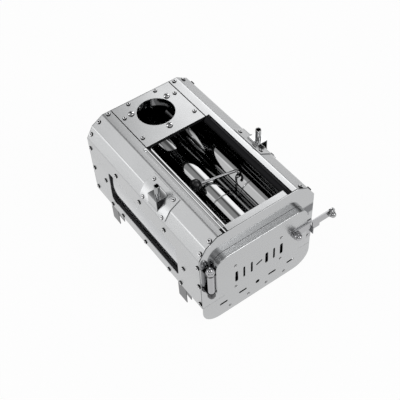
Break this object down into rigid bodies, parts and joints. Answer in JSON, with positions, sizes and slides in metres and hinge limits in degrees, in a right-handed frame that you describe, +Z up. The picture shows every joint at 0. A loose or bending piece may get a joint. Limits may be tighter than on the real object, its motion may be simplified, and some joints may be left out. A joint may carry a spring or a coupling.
{
  "type": "camping heating stove",
  "caption": "Bent steel tent stove with an open cooking top, flue hole, hinged and latched door, ash drawer, side windows, peg sockets, folding legs and stored flue tubes.",
  "frame": {"origin": "on the ground, under the middle of the whole object's bounding box", "axes": "+Z up, +Y from the door towards the back plate, +X to the latch side"},
  "size_m": [0.256, 0.3554, 0.226],
  "materials": {
    "brushed_steel": "fine brushed stainless sheet, satin",
    "polished_steel": "polished stainless",
    "dark_steel": "steel in the shade of the firebox, dull",
    "window_glass": "heat-resistant glass with a pale reflecting coat",
    "gasket_black": "black woven heat seal, matt",
    "ball_black": "glossy black phenolic"
  },
  "bodies": {
    "root": {"left_shell": "brushed_steel", "right_shell": "brushed_steel", "front_plate": "brushed_steel", "back_plate": "brushed_steel", "floor_plate": "dark_steel", "fire_grate": "dark_steel", "flue_plate": "brushed_steel", "flue_collar": "dark_steel", "flue_screw_front": "polished_steel", "flue_screw_left": "polished_steel", "flue_screw_right": "polished_steel", "front_top_strip": "brushed_steel", "left_plate_rail": "brushed_steel", "right_plate_rail": "brushed_steel", "left_window_gasket": "gasket_black", "right_window_gasket": "gasket_black", "left_window_pane": "window_glass", "right_window_pane": "window_glass", "left_window_frame": "dark_steel", "right_window_frame": "dark_steel", "left_saddle_plate": "brushed_steel", "right_saddle_plate": "brushed_steel", "left_peg_bracket": "brushed_steel", "right_peg_bracket": "brushed_steel", "left_peg_tube": "polished_steel", "right_peg_tube": "polished_steel", "left_drawer_rail": "dark_steel", "right_drawer_rail": "dark_steel", "hinge_lug_upper": "brushed_steel", "hinge_lug_lower": "brushed_steel", "hinge_pin": "brushed_steel", "hinge_nut_upper": "polished_steel", "hinge_nut_lower": "polished_steel", "latch_keeper": "brushed_steel", "leg_bracket_front_left": "brushed_steel", "leg_bracket_front_right": "brushed_steel", "leg_bracket_rear_left": "brushed_steel", "leg_bracket_rear_right": "brushed_steel", "flue_section_upper_left": "polished_steel", "flue_section_upper_middle": "polished_steel", "flue_section_upper_right": "polished_steel", "flue_section_lower_left": "polished_steel", "flue_section_lower_right": "polished_steel"},
    "door": {"door_pan": "brushed_steel", "door_baffle": "dark_steel", "door_knuckle": "dark_steel", "latch_bolt": "brushed_steel", "latch_nut": "polished_steel"},
    "latch": {"latch_lever": "brushed_steel", "latch_knob": "polished_steel"},
    "drawer": {"drawer_front": "brushed_steel", "ash_tray": "brushed_steel"},
    "front_left_leg": {"leg_front_left": "brushed_steel"},
    "front_right_leg": {"leg_front_right": "brushed_steel"},
    "rear_left_leg": {"leg_rear_left": "brushed_steel"},
    "rear_right_leg": {"leg_rear_right": "brushed_steel"},
    "lifter": {"lifter_rod": "polished_steel", "lifter_ball": "ball_black"}
  },
  "joints": [
    {"name": "door_hinge", "type": "hinge", "parent": "root", "child": "door", "pos_m": [-0.1155, -0.15765, 0.122], "axis": [0, 0, -1], "range_deg": [0, 110]},
    {"name": "latch_pivot", "type": "hinge", "parent": "door", "child": "latch", "pos_m": [0.046, -0.16435, 0.123], "axis": [0, -1, 0], "range_deg": [0, 75]},
    {"name": "drawer_slide", "type": "slide", "parent": "root", "child": "drawer", "axis": [0, -1, 0], "range_m": [0, 0.2]},
    {"name": "front_left_leg_fold", "type": "hinge", "parent": "root", "child": "front_left_leg", "pos_m": [-0.119, -0.08345, 0.041], "axis": [-1, 0, 0], "range_deg": [0, 90]},
    {"name": "front_right_leg_fold", "type": "hinge", "parent": "root", "child": "front_right_leg", "pos_m": [0.083, -0.08345, 0.041], "axis": [-1, 0, 0], "range_deg": [0, 90]},
    {"name": "rear_left_leg_fold", "type": "hinge", "parent": "root", "child": "rear_left_leg", "pos_m": [-0.119, 0.12805, 0.041], "axis": [1, 0, 0], "range_deg": [0, 90]},
    {"name": "rear_right_leg_fold", "type": "hinge", "parent": "root", "child": "rear_right_leg", "pos_m": [0.083, 0.12805, 0.041], "axis": [1, 0, 0], "range_deg": [0, 90]},
    {"name": "lifter_lift", "type": "slide", "parent": "root", "child": "lifter", "axis": [0, 0, 1], "range_m": [0, 0.04]}
  ]
}
